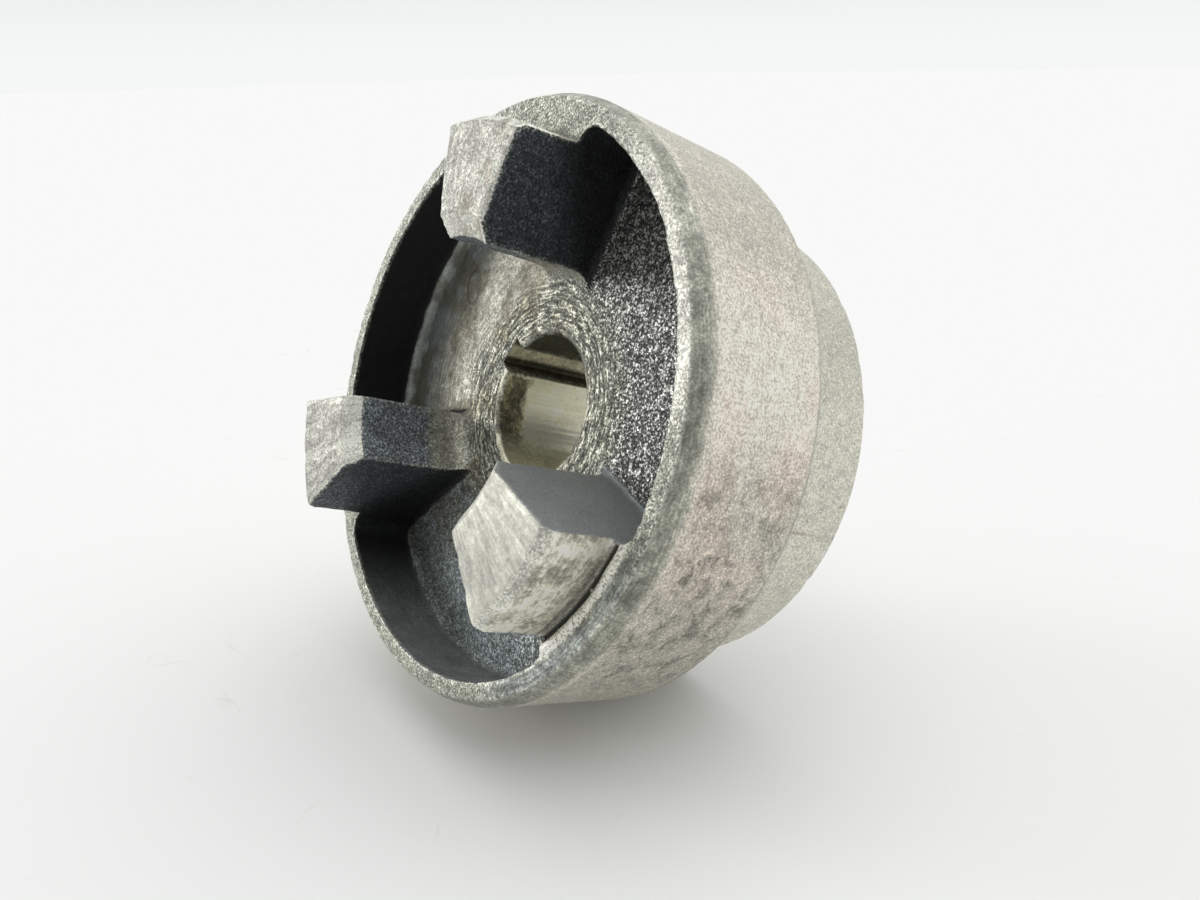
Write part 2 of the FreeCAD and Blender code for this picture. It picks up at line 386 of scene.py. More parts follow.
class HubMap(Board):
    """The map of the casting's finish: where a point is, which way it faces, and a mask for each zone."""

    def __init__(self, tree, places):
        super().__init__(tree)
        hub = self.group(places)
        self.across, self.up, self.angle = hub["Across"], hub["Up"], hub["Angle"]
        self.radius, self.back, self.beside = hub["Radius"], hub["Back"], hub["Beside"]
        self.front, self.outward = hub["Facing Front"], hub["Facing Out"]
        self.sideways = self.math("ABSOLUTE", hub["Facing Round"])
        self.place = self.object_place()
        self.soft_noise = self.noise(self.place, 7.0)
        self.wander = self.about_zero(self.soft_noise, 6.0)
        self.fine_wander = self.about_zero(self.noise(self.place, 2.2, 3.0, 0.6), 4.0)
        self.uneven_radius = self.math("ADD", self.radius, self.wander)
        self.ragged_radius = self.math("ADD", self.radius, self.fine_wander)
        self.ragged_back = self.math("ADD", self.back, self.fine_wander)
        self.facing_in = self.step(self.outward, -0.3, -0.7)
        self.facing_front = self.step(self.front, 0.45, 0.85)
        self.in_cup = self.both(self.under(self.radius, CUP_INNER_RADIUS + 0.3, 0.3),
                                self.under(self.back, FLOOR_BACK + 3.0, 1.0))
        self.map_cup()
        self.map_jaws()
        self.map_rim()
        self.map_outside()
        self.map_bore()
        self.map_marks()

    def towards(self, angle_deg, start, end):
        """Goes from 0 to 1 round the bore towards an angle, between two cosines of the turn that is left."""
        turn = self.math("SUBTRACT", self.angle, math.radians(angle_deg))
        return self.step(self.math("COSINE", turn), start, end)

    def map_cup(self):
        """The inside of the cup: its wall, painted as shade on the left and as light low down, and its floor,
        pale on the left with painted shade and a painted reflection near the wall there, and brushed round
        the bore.
        """
        self.inner_wall = self.both(self.in_cup, self.facing_in, self.over(self.radius, 38.5, 1.2))
        # painted shade: the left of the inner wall is darker
        self.wall_left_painted_shade = self.both(self.inner_wall, self.towards(185, 0.1, 0.7))
        # painted light: the low part of the inner wall, which faces up, is paler
        self.wall_low_painted_light = self.both(self.inner_wall, self.towards(272, 0.72, 0.97))
        self.floor = self.both(self.in_cup, self.facing_front, self.over(self.back, FLOOR_BACK - 3.0, 1.0))
        self.floor_left = self.both(self.floor, self.towards(165, -0.1, 0.7))
        # painted shade: the left floor is darker towards the wall
        self.floor_rim_painted_shade = self.both(self.floor_left, self.over(self.uneven_radius, 33.0, 5.0))
        # painted reflection: a pale line on the left floor near the wall
        self.floor_line_painted_reflection = self.both(self.floor_left, self.over(self.ragged_radius, 38.9, 0.6))
        self.floor_low = self.both(self.floor, self.towards(250, 0.5, 0.9), self.over(self.radius, 20.0, 4.0))
        self.swirl = self.both(self.floor, self.under(self.uneven_radius, 19.0, 3.5))

    def map_jaws(self):
        """The jaws: their flanks, the upper one painted as light and the others painted as shade in their
        corners, their inner and outer sides, and their ends, which stand past the rim.
        """
        past_bore = self.over(self.radius, 15.0, 1.0)
        self.flank = self.both(self.in_cup, self.step(self.sideways, 0.4, 0.75), past_bore)
        # painted light: the upper flank, which faces up, is paler than the others
        self.upper_flank_painted_light = self.both(self.flank, self.towards(-10, 0.5, 0.9))
        towards_wall = self.math("MULTIPLY", self.math("SUBTRACT", self.radius, 30.0), 0.5)
        into_corner = self.math("ADD", self.back, towards_wall)
        other_flanks = self.both(self.flank, self.math("SUBTRACT", 1.0, self.upper_flank_painted_light))
        # painted shade: the other flanks go darker into their corners with the floor and the wall
        self.corner_painted_shade = self.both(other_flanks, self.step(into_corner, -1.0, 7.5))
        self.jaw_inner = self.both(self.in_cup, self.facing_in, self.under(self.radius, 30.0, 2.0), past_bore)
        self.jaw_root = self.both(self.jaw_inner, self.over(self.ragged_back, 4.5, 1.2))
        self.jaw_outer = self.both(self.under(self.back, 0.3, 0.4), self.step(self.outward, 0.3, 0.7),
                                   self.under(self.radius, JAW_OUTER_RADIUS + 0.6, 0.4))
        self.jaw_end = self.both(self.under(self.back, -6.5, 0.8), self.step(self.front, 0.3, 0.55))
        self.low_jaw_end = self.both(self.jaw_end, self.towards(-30, 0.3, 0.7))
        self.end_chamfer = self.both(self.jaw_end, self.under(self.front, 0.90, 0.05))

    def map_rim(self):
        """The rim's flat, its bevel, and the groove and ridge at the foot of the lower right jaw, the groove
        dark with dirt and painted shade and the ridge painted pale as a highlight.
        """
        radius = self.radius
        self.rim = self.both(self.under(self.back, 1.3, 0.5), self.facing_front,
                             self.over(radius, JAW_OUTER_RADIUS + 0.2, 0.3))
        self.rim_top = self.both(self.rim, self.towards(75, 0.2, 0.8))
        self.bright_rim = self.both(self.rim, self.over(radius, CUP_INNER_RADIUS + 0.2, 0.3),
                                    self.towards(34, 0.84, 0.97))
        self.soiled_ledge = self.both(self.rim, self.over(self.ragged_radius, CUP_INNER_RADIUS + 0.1, 0.8),
                                      self.towards(-38, 0.88, 0.97))
        jaw_foot = self.both(self.rim, self.towards(JAW_FOOT_ANGLE, 0.55, 0.85))
        # painted highlight: the ridge is very pale
        self.ridge = self.both(jaw_foot, self.over(radius, JAW_OUTER_RADIUS + 1.3, 0.25),
                               self.under(radius, CUP_INNER_RADIUS, 0.4), self.under(self.beside, 1.0, 1.0))
        # the groove is dark with dirt and painted shade
        self.foot_groove = self.both(jaw_foot, self.over(radius, JAW_OUTER_RADIUS + 0.1, 0.2),
                                     self.under(self.ragged_radius, JAW_OUTER_RADIUS + 1.1, 0.3),
                                     self.under(self.beside, 0.6, 0.5))
        band_back = self.math("ADD", self.back, self.math("MULTIPLY", self.wander, 0.35))
        self.bevel_band = self.both(self.over(radius, CUP_RADIUS - 1.0, 0.12),
                                    self.over(self.back, -0.2, 0.25), self.under(band_back, 2.9, 1.0))

    def map_outside(self):
        """The outer wall of the cup, the line of painted shade behind it, the barrel and the machined face at
        the back, with light and shade painted round the outside.
        """
        radius, back = self.radius, self.back
        self.outer_wall = self.both(self.over(radius, CUP_RADIUS - 1.5, 0.3), self.over(back, 4.0, 1.0),
                                    self.under(back, SHOULDER_BACK - 0.9, 0.5))
        # painted shade: a darker line where the cup's back edge meets the barrel
        self.cup_back_line = self.both(self.over(back, SHOULDER_BACK - 1.0, 0.35),
                                       self.under(back, SHOULDER_BACK + 0.6, 0.2),
                                       self.over(radius, BARREL_RADIUS - 0.9, 0.5))
        self.barrel = self.both(self.over(back, SHOULDER_BACK + 0.5, 0.2), self.over(radius, 30.0, 2.0))
        self.back_face = self.both(self.step(self.front, -0.4, -0.8), self.over(back, BARREL_BACK - 1.5, 0.5))
        # painted light: the outer wall is lighter round its right side
        self.outer_side_painted_light = self.both(self.outer_wall, self.towards(19, 0.92, 0.998))
        round_side = self.math("MAXIMUM", self.outer_wall, self.barrel)
        # painted shade: the tops of the outer wall and barrel are darker
        self.top_painted_shade = self.both(round_side, self.towards(58, 0.70, 0.97))
        # the foot of the outer wall is darker, partly with dirt and partly as painted shade
        self.foot_painted_shade_and_dirt = self.both(self.outer_wall, self.towards(-52, 0.80, 0.98))
        # a little darker in a band round the right of the outer wall
        self.right_band_darker = self.both(self.outer_wall, self.towards(-8, 0.86, 0.99))

    def map_bore(self):
        """The bore, dark with old grease at its mouth and above, its clean metal painted pale as light, and
        the keyway cut along it, painted as shade on its sides and as light on its floor.
        """
        radius, sine = self.radius, self.math("SINE", self.angle)
        # painted light: the clean bore is painted near white for the light that comes in at its open back
        self.bore = self.both(self.under(radius, BORE_RADIUS + 0.8, 0.3), self.step(self.outward, 0.2, -0.3))
        self.bore_mouth = self.both(self.bore, self.under(self.ragged_back, FLOOR_BACK + 5.0, 1.2))
        self.bore_top = self.both(self.bore, self.step(sine, 0.35, 0.7))
        self.bore_low = self.both(self.bore, self.step(sine, -0.5, -0.85))
        from_key = self.math("SINE", self.math("SUBTRACT", self.angle, math.radians(KEYWAY_ANGLE)))
        key_side = self.math("ABSOLUTE", self.math("MULTIPLY", radius, from_key))
        key_span = self.both(self.over(radius, BORE_RADIUS + 0.2, 0.15),
                             self.under(radius, BORE_RADIUS + 3.4, 0.2),
                             self.under(key_side, 2.8, 0.2), self.towards(KEYWAY_ANGLE, 0.0, 0.5))
        along_bore = self.under(self.math("ABSOLUTE", self.front), 0.5, 0.2)
        # painted shade: the keyway's sides are painted dark
        self.keyway = self.both(key_span, along_bore, self.over(self.back, FLOOR_BACK - 2.0, 1.0))
        # painted light: the keyway's floor is painted pale
        self.keyway_middle = self.both(self.keyway, self.over(radius, BORE_RADIUS + 1.8, 0.2),
                                       self.under(key_side, 1.1, 0.5))

    def map_marks(self):
        """Marks of the mould and of use: parting line, core's oval, pink oxide, stains, smudges and wear, and
        the hollows, darker with dirt and painted shade.
        """
        pink_noise = self.noise(self.place, 13.0)
        self.pink = self.both(self.outer_wall, self.step(pink_noise, 0.44, 0.62), self.towards(6, 0.80, 0.99))
        from_parting = self.math("ABSOLUTE", self.math("SUBTRACT", self.angle, math.radians(PARTING_ANGLE)))
        self.parting = self.both(self.barrel, self.under(from_parting, 0.006, 0.003),
                                 self.step(self.fine_wander, -0.3, 0.4, 0.15, 0.45))
        small_marks = self.step(self.noise(self.place, 1.7, 4.0, 0.75, 0.3), 0.56, 0.72)
        barrel_marks = self.both(self.barrel, small_marks, self.towards(-2, 0.75, 0.95))
        back_corner = self.both(self.barrel, self.over(self.back, BARREL_BACK - 0.6, 0.15))
        self.barrel_dirt = self.math("MAXIMUM", barrel_marks, back_corner)
        blots = self.step(self.noise(self.place, 2.6, 4.0, 0.65, 0.5), 0.47, 0.60)
        self.end_stain = self.both(self.jaw_end, blots, self.towards(84, 0.97, 0.995))
        self.floor_stain = self.both(self.floor_left, self.step(self.soft_noise, 0.50, 0.62))
        oval = self.from_oval()
        self.oval_line = self.both(self.floor, self.over(oval, 0.98, 0.08), self.under(oval, 1.22, 0.08))
        handled = self.math("MAXIMUM", self.outer_wall, self.bevel_band)
        smears = self.step(self.noise(self.place, 3.0, 4.0, 0.75, 0.2), 0.44, 0.70)
        self.smudge = self.both(handled, smears, self.towards(-24, 0.82, 0.98))
        rubs = self.step(self.noise(self.place, 0.9, 3.0, 0.7), 0.38, 0.54)
        self.worn_edge = self.both(self.step(self.edge(), 0.15, 0.7), rubs)
        # darker in the mesh's hollows, with dirt there and as painted shade
        self.hollow = self.step(self.edge(), -0.12, -0.8)

    def from_oval(self):
        """How far a point is from the middle of the core's oval, where the oval itself is at 1."""
        middle, tilt = math.radians(OVAL_ANGLE), math.radians(OVAL_TILT)
        off_across = self.math("SUBTRACT", self.across, OVAL_RADIUS * math.cos(middle))
        off_up = self.math("SUBTRACT", self.up, OVAL_RADIUS * math.sin(middle))
        off_long = self.math("ADD", self.math("MULTIPLY", off_across, math.cos(tilt) / OVAL_LENGTH),
                             self.math("MULTIPLY", off_up, math.sin(tilt) / OVAL_LENGTH))
        off_short = self.math("SUBTRACT", self.math("MULTIPLY", off_up, math.cos(tilt) / OVAL_WIDTH),
                              self.math("MULTIPLY", off_across, math.sin(tilt) / OVAL_WIDTH))
        return self.math("SQRT", self.math("ADD", self.math("MULTIPLY", off_long, off_long),
                                           self.math("MULTIPLY", off_short, off_short)))


def casting_zones(hub):
    """The zones of the finish, with painted light and shade among them, each laid over those before it.

    Each has a middle colour, the stops by which grain, patches and strokes change it, and a roughness."""
    return (
        (hub.barrel, (214, 212, 199), 0.24, 0.04, 0.0, 0.50),
        # painted shade: a darker line where the cup's back edge meets the barrel
        (hub.cup_back_line, (168, 164, 154), 0.15, 0.06, 0.0, 0.50),
        (hub.back_face, (206, 204, 196), 0.12, 0.08, 0.14, 0.42),
        (hub.inner_wall, (44, 47, 47), 2.0, 0.20, 0.10, 0.42),
        # painted shade: the left of the inner wall is darker
        (hub.wall_left_painted_shade, (36, 39, 38), 0.12, 0.20, 0.10, 0.58),
        # painted light: the low part of the inner wall, which faces up, is paler
        (hub.wall_low_painted_light, (118, 121, 121), 0.20, 0.20, 0.10, 0.58),
        (hub.floor, (84, 85, 82), 1.85, 0.15, 0.0, 0.42),
        (hub.floor_left, (158, 157, 145), 0.30, 0.22, 0.20, 0.52),
        # painted shade: the left floor is darker towards the wall
        (hub.floor_rim_painted_shade, (129, 135, 134), 0.16, 0.18, 0.15, 0.58),
        # painted reflection: a pale line on the left floor near the wall
        (hub.floor_line_painted_reflection, (186, 190, 184), 0.16, 0.12, 0.15, 0.58),
        (hub.floor_low, (122, 128, 128), 0.70, 0.20, 0.15, 0.54),
        (hub.swirl, (117, 117, 106), 0.75, 0.12, 1.05, 0.48),
        (hub.flank, (69, 74, 78), 0.95, 0.12, 0.0, 0.46),
        # painted light: the upper flank, which faces up, is paler
        (hub.upper_flank_painted_light, (162, 166, 167), 0.14, 0.08, 0.0, 0.42),
        (hub.jaw_inner, (117, 123, 128), 0.85, 0.22, 0.0, 0.50),
        (hub.jaw_root, (164, 163, 151), 0.45, 0.30, 0.0, 0.52),
        (hub.jaw_outer, (203, 201, 185), 0.16, 0.60, 0.16, 0.52),
        (hub.jaw_end, (159, 158, 150), 0.34, 0.14, 0.0, 0.50),
        (hub.low_jaw_end, (182, 181, 171), 0.10, 0.14, 0.0, 0.50),
        (hub.end_chamfer, (208, 207, 197), 0.34, 0.12, 0.0, 0.46),
        (hub.rim, (150, 150, 139), 0.62, 0.14, 0.0, 0.52),
        (hub.rim_top, (151, 151, 141), 0.70, 0.14, 0.0, 0.52),
        (hub.bright_rim, (180, 179, 170), 0.34, 0.20, 0.0, 0.46),
        (hub.soiled_ledge, (134, 138, 134), 0.30, 0.45, 0.35, 0.52),
        # painted highlight: the ridge is very pale
        (hub.ridge, (240, 237, 223), 0.75, 0.30, 0.0, 0.48),
        (hub.bevel_band, (148, 149, 138), 0.26, 0.30, 0.15, 0.46),
        # the groove is dark with dirt and painted shade
        (hub.foot_groove, (58, 57, 47), 0.30, 0.20, 0.0, 0.60),
        # the clean bore, painted near white as the light that comes in at its open back
        (hub.bore, (245, 241, 217), 0.06, 0.10, 0.05, 0.30),
        (hub.bore_mouth, (118, 113, 92), 0.35, 0.80, 0.0, 0.42),
        (hub.bore_low, (200, 195, 166), 0.15, 0.20, 0.05, 0.36),
        (hub.bore_top, (60, 62, 47), 0.20, 0.50, 0.0, 0.42),
        # painted shade on the keyway's sides
        (hub.keyway, (74, 72, 56), 0.25, 0.50, 0.0, 0.42),
        # painted light on the keyway's floor
        (hub.keyway_middle, (206, 200, 176), 0.20, 0.30, 0.0, 0.40),
    )


def casting_marks(hub):
    """The marks that lie over the zones, each with its share and its colour."""
    return (
        (hub.pink, 0.45, (222, 200, 189)),
        (hub.parting, 1.0, (150, 120, 100)),
        (hub.barrel_dirt, 0.55, (120, 114, 102)),
        (hub.end_stain, 0.55, (122, 110, 96)),
        (hub.floor_stain, 0.65, (104, 98, 78)),
        (hub.oval_line, 0.6, (84, 82, 72)),
        (hub.smudge, 0.85, (112, 111, 97)),
        (hub.worn_edge, 0.4, (214, 213, 202)),
    )


def cast_aluminium(places, speckle, grime, lines, smears):
    """Old sand-cast aluminium: pale where hands and the insert rub it, dark where oil and dust stay, with
    light and shade painted on it where they fall.
    """
    material, shader = new_material("cast_aluminium")
    hub = HubMap(material.node_tree, places)

    colour = screen_colour(213, 208, 195)
    grain_stops, patch_stops, line_stops, rough = 0.30, 0.05, 0.05, 0.50
    for mask, middle, zone_grain, zone_patch, zone_line, zone_rough in casting_zones(hub):
        colour = hub.blend(mask, colour, screen_colour(*middle))
        grain_stops = hub.fade(mask, grain_stops, zone_grain)
        patch_stops = hub.fade(mask, patch_stops, zone_patch)
        line_stops = hub.fade(mask, line_stops, zone_line)
        rough = hub.fade(mask, rough, zone_rough)
    for mask, share, shade in casting_marks(hub):
        colour = hub.blend(hub.math("MULTIPLY", mask, share), colour, screen_colour(*shade))

    grain = hub.group(speckle, Grain_Size=1.0)
    patches = hub.group(grime, Patch_Size=1.0, Break_Up=0.5)["Patches"]
    strokes = hub.group(lines, Length=3.0)["Lines"]
    on_jaw = hub.math("MAXIMUM", hub.jaw_end, hub.math("MULTIPLY", hub.jaw_outer, 0.5))
    smeared = hub.both(hub.group(smears, Width=1.0)["Smears"], on_jaw)
    stops = 0.0
    for amount, strength in (
            (grain["Speckle"], grain_stops), (patches, patch_stops), (strokes, line_stops), (smeared, 0.22),
            # the hollows are darker with dirt and painted shade, the jaws' corners with painted shade, and
            # the right of the outer wall is painted light
            (hub.hollow, -0.9), (hub.corner_painted_shade, -3.0), (hub.outer_side_painted_light, 0.33),
            # the tops are painted shade, the foot is darker with dirt and painted shade, and a band round the
            # right is a little darker
            (hub.top_painted_shade, -0.38), (hub.foot_painted_shade_and_dirt, -0.45), (hub.right_band_darker, -0.16)):
        stops = hub.math("MULTIPLY_ADD", amount, strength, stops)

    palest = (0.86, 0.85, 0.80)
    shaded = hub.vector("MINIMUM", hub.scaled(colour, hub.math("POWER", 2.0, stops)), palest)
    hub.feed(shader.inputs["Base Color"], shaded)
    hub.feed(shader.inputs["Roughness"], hub.math("SUBTRACT", rough, hub.math("MULTIPLY", stops, 0.04)))
    hub.feed(shader.inputs["Metallic"], hub.step(stops, -1.5, 1.0, 0.35, 0.65))
    height = hub.math("MULTIPLY", grain["Height"], hub.step(grain_stops, 0.0, 0.8, 0.1, 1.0))
    add_bump(hub, shader, height, distance_mm=0.30, strength=0.8)
    return material


def black_steel():
    """Black oxide on a heat-treated set screw, worn a little on the thread's crests."""
    material, shader = new_material("black_steel")
    board = Board(material.node_tree)
    mottle = board.noise(board.object_place(), 0.8, 4.0, 0.65)
    rubbed = board.both(board.step(board.edge(), 0.75, 1.0), board.step(mottle, 0.42, 0.58))
    colour = board.blend(board.step(mottle, 0.35, 0.65), screen_colour(44, 44, 46), screen_colour(70, 69, 68))
    colour = board.blend(board.math("MULTIPLY", rubbed, 0.6), colour, screen_colour(150, 148, 144))
    board.feed(shader.inputs["Base Color"], colour)
    board.feed(shader.inputs["Roughness"], board.step(mottle, 0.3, 0.7, 0.34, 0.52))
    shader.inputs["Metallic"].default_value = 0.85
    add_bump(board, shader, mottle, distance_mm=0.03, strength=0.6)
    return material


def studio_paper():
    """White paper with a few faint marks."""
    material, shader = new_material("studio_paper")
    board = Board(material.node_tree)
    scuffs = board.step(board.noise(board.object_place(), 14.0, 5.0, 0.75, 1.5), 0.64, 0.74, 0.0, 0.35)
    colour = board.blend(scuffs, screen_colour(234, 234, 234), screen_colour(205, 204, 200))
    board.feed(shader.inputs["Base Color"], colour)
    shader.inputs["Roughness"].default_value = 0.75
    shader.inputs["Specular IOR Level"].default_value = 0.0
    return material


# ---------------------------------------------------------------------- the casting's skin

def lumps(points, size, seed):
    """Seeded smooth noise from -1 to 1 at points in millimetres, with lumps about size across."""
    scaled = points / size + seed * 7.31
    cell = np.floor(scaled).astype(np.int64)
    part = scaled - cell
    part = part * part * (3 - 2 * part)
    total = np.zeros(len(points))
    for corner in itertools.product((0, 1), repeat=3):
        key = (cell + np.array(corner)) * np.array((73856093, 19349663, 83492791))
        mixed = key[:, 0] ^ key[:, 1] ^ key[:, 2] ^ (seed * 668265263)
        mixed = ((mixed ^ (mixed >> 15)) * 2246822519) & 0xFFFFFFFF
        mixed = ((mixed ^ (mixed >> 13)) * 3266489917) & 0xFFFFFFFF
        value = ((mixed ^ (mixed >> 16)) & 0xFFFF) / 32767.5 - 1
        weight = np.prod(np.where(np.array(corner), part, 1 - part), axis=1)
        total += value * weight
    return total


def soft(value, start, end):
    """0 before start and 1 past end, with a soft step between; start may be the larger."""
    share = np.clip((value - start) / (end - start), 0, 1)
    return share * share * (3 - 2 * share)


def hump(value, middle, half_width):
    """1 at middle, falling smoothly to 0 at half_width to either side."""
    return soft(np.abs(value - middle), half_width, 0)


def read_vectors(items, name, count):
    values = np.empty(count * 3, np.float32)
    items.foreach_get(name, values)
    return values.reshape(-1, 3).astype(float)


def set_points(mesh, points):
    """Gives a mesh its points, in millimetres, kept a little inside the box that the solid hub fills."""
    margin = 0.004
    kept = np.clip(points, np.array(cad_low) / MM + margin, np.array(cad_high) / MM - margin)
    mesh.vertices.foreach_set("co", (kept * MM).astype(np.float32).ravel())
    mesh.update()


def relaxed(values, pairs, rounds):
    """Values of the skin's points, averaged again and again with those of their neighbours."""
    count = len(values)
    ends = np.concatenate((pairs[:, 0], pairs[:, 1]))
    others = np.concatenate((pairs[:, 1], pairs[:, 0]))
    links = np.maximum(np.bincount(ends, minlength=count), 1)
    for _ in range(rounds):
        values = np.stack([np.bincount(ends, column[others], count) / links for column in values.T], axis=1)
    return values


def screw_direction(angle_deg):
    angle = math.radians(angle_deg)
    return np.array((math.cos(angle), 0.0, math.sin(angle)))


def eased_skin():
    """The casting's solid as an even skin of small faces, its corners eased as sand casting leaves them."""
    blank = bpy.data.objects.new("casting_blank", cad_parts["hub_casting"].data.copy())
    bpy.context.scene.collection.objects.link(blank)
    blank.modifiers.new("weld", "WELD").merge_threshold = 1e-6
    remesh = blank.modifiers.new("skin", "REMESH")
    remesh.mode = "VOXEL"
    remesh.voxel_size = SKIN_STEP * MM
    ease = blank.modifiers.new("ease", "SMOOTH")
    ease.factor = 0.5
    ease.iterations = EASE_ROUNDS
    skin = bpy.data.meshes.new_from_object(blank.evaluated_get(bpy.context.evaluated_depsgraph_get()))
    bpy.data.objects.remove(blank)
    return skin


def screw_hole_threads(points, normals):
    """How deep the threads are cut at each point of the skin, in millimetres: 0 away from the screw holes."""
    depth = np.zeros(len(points))
    groove_depth, deepest = 0.45, 13.0
    for angle in (KEYWAY_ANGLE, SHAFT_SCREW_ANGLE):
        axis = screw_direction(angle)
        along = points @ axis
        from_axis = points - along[:, None] * axis
        from_axis[:, 1] += SCREW_SETBACK
        distance = np.linalg.norm(from_axis, axis=1)
        inward = np.einsum("ij,ij->i", normals, from_axis) / np.maximum(distance, 0.001)
        wall = soft(inward, -0.6, -0.9) * soft(np.abs(distance - SCREW_HOLE_RADIUS), 0.35, 0.15)
        wall *= soft(along, deepest, deepest + 1.2) * soft(along, BARREL_RADIUS - 0.7, BARREL_RADIUS - 1.6)
        side = np.cross(axis, (0.0, 1.0, 0.0))
        turn = np.arctan2(from_axis @ side, from_axis[:, 1]) / (2 * math.pi)
        phase = (along / THREAD_PITCH - turn) % 1.0
        depth += wall * groove_depth * (1 - np.abs(2 * phase - 1))
    return depth


def weather_skin(skin):
    """Gives the skin its cast grain, wear, nicks and threads, and notes where its edges and hollows are."""
    count = len(skin.vertices)
    points = read_vectors(skin.vertices, "co", count) / MM
    normals = read_vectors(skin.vertices, "normal", count)
    pairs = np.empty(len(skin.edges) * 2, np.int32)
    skin.edges.foreach_get("vertices", pairs)
    pairs = pairs.reshape(-1, 2)
    edge_reach, sharpest = 0.9, 0.22
    rounds = max(2, round((edge_reach / SKIN_STEP) ** 2))
    flat = relaxed(points, pairs, rounds)
    edge = np.clip(np.einsum("ij,ij->i", points - flat, normals) / sharpest, -1, 1)

    radius = np.hypot(points[:, 0], points[:, 2])
    back = points[:, 1] - RIM_PLANE_Y
    front = -normals[:, 1]
    angle = np.arctan2(points[:, 2], points[:, 0])
    share = 2 * math.pi / JAW_COUNT
    from_jaw = np.abs((angle - math.radians(TOP_JAW_ANGLE) + share / 2) % share - share / 2)
    beside = np.sin(from_jaw - math.radians(JAW_HALF_ANGLE)) * radius

    in_cup = soft(radius, CUP_INNER_RADIUS + 0.4, CUP_INNER_RADIUS)
    in_cup *= soft(back, FLOOR_BACK + 2.0, FLOOR_BACK + 0.5)
    near_bore = soft(radius, SMOOTH_FLOOR_RADIUS, SMOOTH_FLOOR_RADIUS - 0.7) * soft(front, 0.8, 0.5)
    turned = np.maximum(near_bore, soft(back, BARREL_BACK - 0.5, BARREL_BACK - 0.2))
    holes = np.zeros(count)
    for hole_angle in (KEYWAY_ANGLE, SHAFT_SCREW_ANGLE):
        axis = screw_direction(hole_angle)
        from_axis = points - (points @ axis)[:, None] * axis
        from_axis[:, 1] += SCREW_SETBACK
        near = soft(np.linalg.norm(from_axis, axis=1), SCREW_HOLE_RADIUS + 0.6, SCREW_HOLE_RADIUS + 0.2)
        holes = np.maximum(holes, near * ((points @ axis) > 0))
    cast = (1 - turned) * (1 - holes)
    floor = in_cup * soft(back, FLOOR_BACK - 3.5, FLOOR_BACK - 1.5) * soft(front, 0.3, 0.7)

    lift = np.zeros(count)
    # each size of lump, its height on all cast faces, and how much higher it is in the cup and on its floor
    cast_lumps = (
        (9.0, 0.035, 0.0, 0.0),
        (3.5, 0.018, 0.0, 0.0),
        (1.5, 0.022, 0.050, 0.02),
        (0.8, 0.012, 0.0, 0.02),
    )
    for seed, (size, height, more_in_cup, more_on_floor) in enumerate(cast_lumps, start=1):
        lift += cast * (height + more_in_cup * in_cup + more_on_floor * floor) * lumps(points, size, seed)
    nick_depth = 0.16
    lift -= cast * soft(edge, 0.15, 0.8) * nick_depth * soft(lumps(points, 2.0, 5), 0.1, 0.8)

    on_ledge = soft(front, 0.5, 0.9) * soft(np.abs(back), 2.0, 1.2) * soft(beside, 0.6, -0.4)
    on_ledge *= soft(np.cos(angle - math.radians(JAW_FOOT_ANGLE)), 0.55, 0.85)
    groove_depth, ridge_height = 0.85, 0.25
    wander = 0.25 * lumps(points, 4.0, 6)
    lift -= on_ledge * groove_depth * hump(radius + wander, JAW_OUTER_RADIUS + 0.75, 0.9)
    lift += on_ledge * ridge_height * hump(radius + wander, JAW_OUTER_RADIUS + 2.2, 0.8)

    on_barrel = soft(back, SHOULDER_BACK + 1.1, SHOULDER_BACK + 2.1)
    on_barrel *= soft(back, BARREL_BACK - 0.9, BARREL_BACK - 1.5)
    on_barrel *= soft(radius, BARREL_RADIUS - 0.5, BARREL_RADIUS - 0.2)
    seam_height, oval_height = 0.10, 0.16
    for side in (0.0, 180.0):
        seam = BARREL_RADIUS * np.abs(np.angle(np.exp(1j * (angle - math.radians(PARTING_ANGLE + side)))))
        lift += on_barrel * seam_height * hump(seam, 0.0, 0.5)
    oval_middle = OVAL_RADIUS * np.exp(1j * math.radians(OVAL_ANGLE))
    from_oval = (points[:, 0] + 1j * points[:, 2] - oval_middle) * np.exp(-1j * math.radians(OVAL_TILT))
    mean_size = (OVAL_LENGTH + OVAL_WIDTH) / 2
    oval = np.abs(np.hypot(from_oval.real / OVAL_LENGTH, from_oval.imag / OVAL_WIDTH) - 1.0) * mean_size
    lift += floor * oval_height * hump(oval, 0.0, 0.8)
    lift -= screw_hole_threads(points, normals)

    set_points(skin, points + normals * lift[:, None])
    noted = skin.attributes.new("edge", "FLOAT", "POINT")
    noted.data.foreach_set("value", edge.astype(np.float32))
    skin.update()


def hub_surface(finish):
    """The casting, with the surface that years of use have given it."""
    skin = eased_skin()
    weather_skin(skin)
    piece = bpy.data.objects.new("hub_surface", skin)
    bpy.context.scene.collection.objects.link(piece)
    triangles = sum(len(face.vertices) - 2 for face in skin.polygons)
    thin = piece.modifiers.new("thin", "DECIMATE")
    thin.ratio = min(1.0, MOST_FACES / triangles)
    bpy.context.view_layer.update()
    final = bpy.data.meshes.new_from_object(piece.evaluated_get(bpy.context.evaluated_depsgraph_get()))
    piece.modifiers.clear()
    piece.data = final
    final.name = "hub_surface"
    set_points(final, read_vectors(final.vertices, "co", len(final.vertices)) / MM)
    bpy.data.meshes.remove(skin)
    final.shade_smooth()
    final.materials.clear()
    final.materials.append(finish)
    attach(piece, "hub")
    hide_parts("hub_casting")


# ---------------------------------------------------------------------- the set screws

SCREW_COLUMNS = 72
ROWS_PER_TURN = 12


